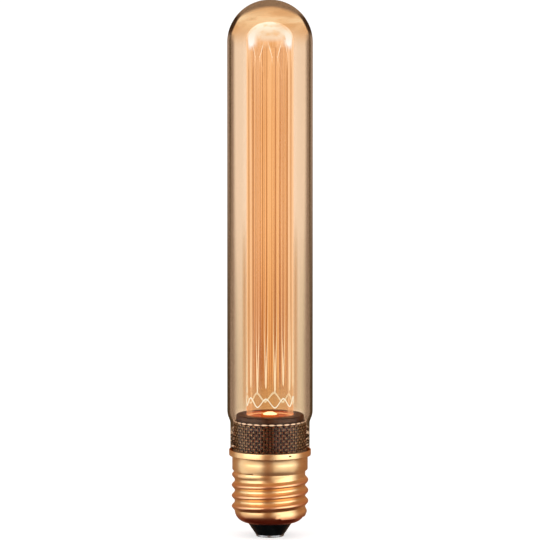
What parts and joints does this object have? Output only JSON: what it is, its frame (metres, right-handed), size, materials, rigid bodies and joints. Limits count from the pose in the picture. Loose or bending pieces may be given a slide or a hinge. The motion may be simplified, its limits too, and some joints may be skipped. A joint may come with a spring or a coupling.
{
  "type": "led light bulb",
  "caption": "Tubular gold-glass LED lamp with an engraved light guide lit from its foot, a woven metal sleeve at the neck and a brass screw cap",
  "frame": {"origin": "the middle of the centre contact's flat underside, on the lamp's axis", "axes": "+Z along the lamp's axis from the contact to the glass dome, -Y towards the front seen in the picture, +X to the right in the picture"},
  "size_m": [0.0293, 0.0292, 0.185],
  "materials": {
    "gold_glass": "gloss",
    "clear_acrylic": "gloss",
    "brown_plastic": "satin",
    "aluminium": "satin",
    "white_board": "satin",
    "led_ceramic": "satin",
    "led_phosphor": "satin",
    "bronze_wire": "satin",
    "cement": "matte",
    "cap_brass": "polished",
    "black_insulator": "gloss",
    "contact_metal": "satin",
    "green_board": "satin",
    "capacitor_sleeve": "gloss",
    "film_case": "gloss",
    "resistor_body": "satin",
    "chip_black": "matte",
    "ferrite": "matte",
    "enamel_wire": "gloss",
    "red_insulation": "satin",
    "black_insulation": "satin",
    "tinned_wire": "satin"
  },
  "bodies": {
    "root": {"glass_envelope": "gold_glass", "light_guide": "clear_acrylic", "guide_holder": "brown_plastic", "heat_sink": "aluminium", "led_board": "white_board", "led_base": "led_ceramic", "led_phosphor": "led_phosphor", "mesh_sleeve": "bronze_wire", "sleeve_rim_wire": "bronze_wire", "neck_cement": "cement", "cap_shell": "cap_brass", "cap_insulator": "black_insulator", "centre_contact": "contact_metal", "driver_board": "green_board", "electrolytic_capacitor": "capacitor_sleeve", "film_capacitor": "film_case", "fusible_resistor": "resistor_body", "chip_resistors": "chip_black", "inductor_core": "ferrite", "inductor_winding": "enamel_wire", "bridge_rectifier": "chip_black", "driver_chip": "chip_black", "led_wire_positive": "red_insulation", "led_wire_negative": "black_insulation", "shell_wire": "tinned_wire", "contact_wire": "tinned_wire"}
  },
  "joints": []
}
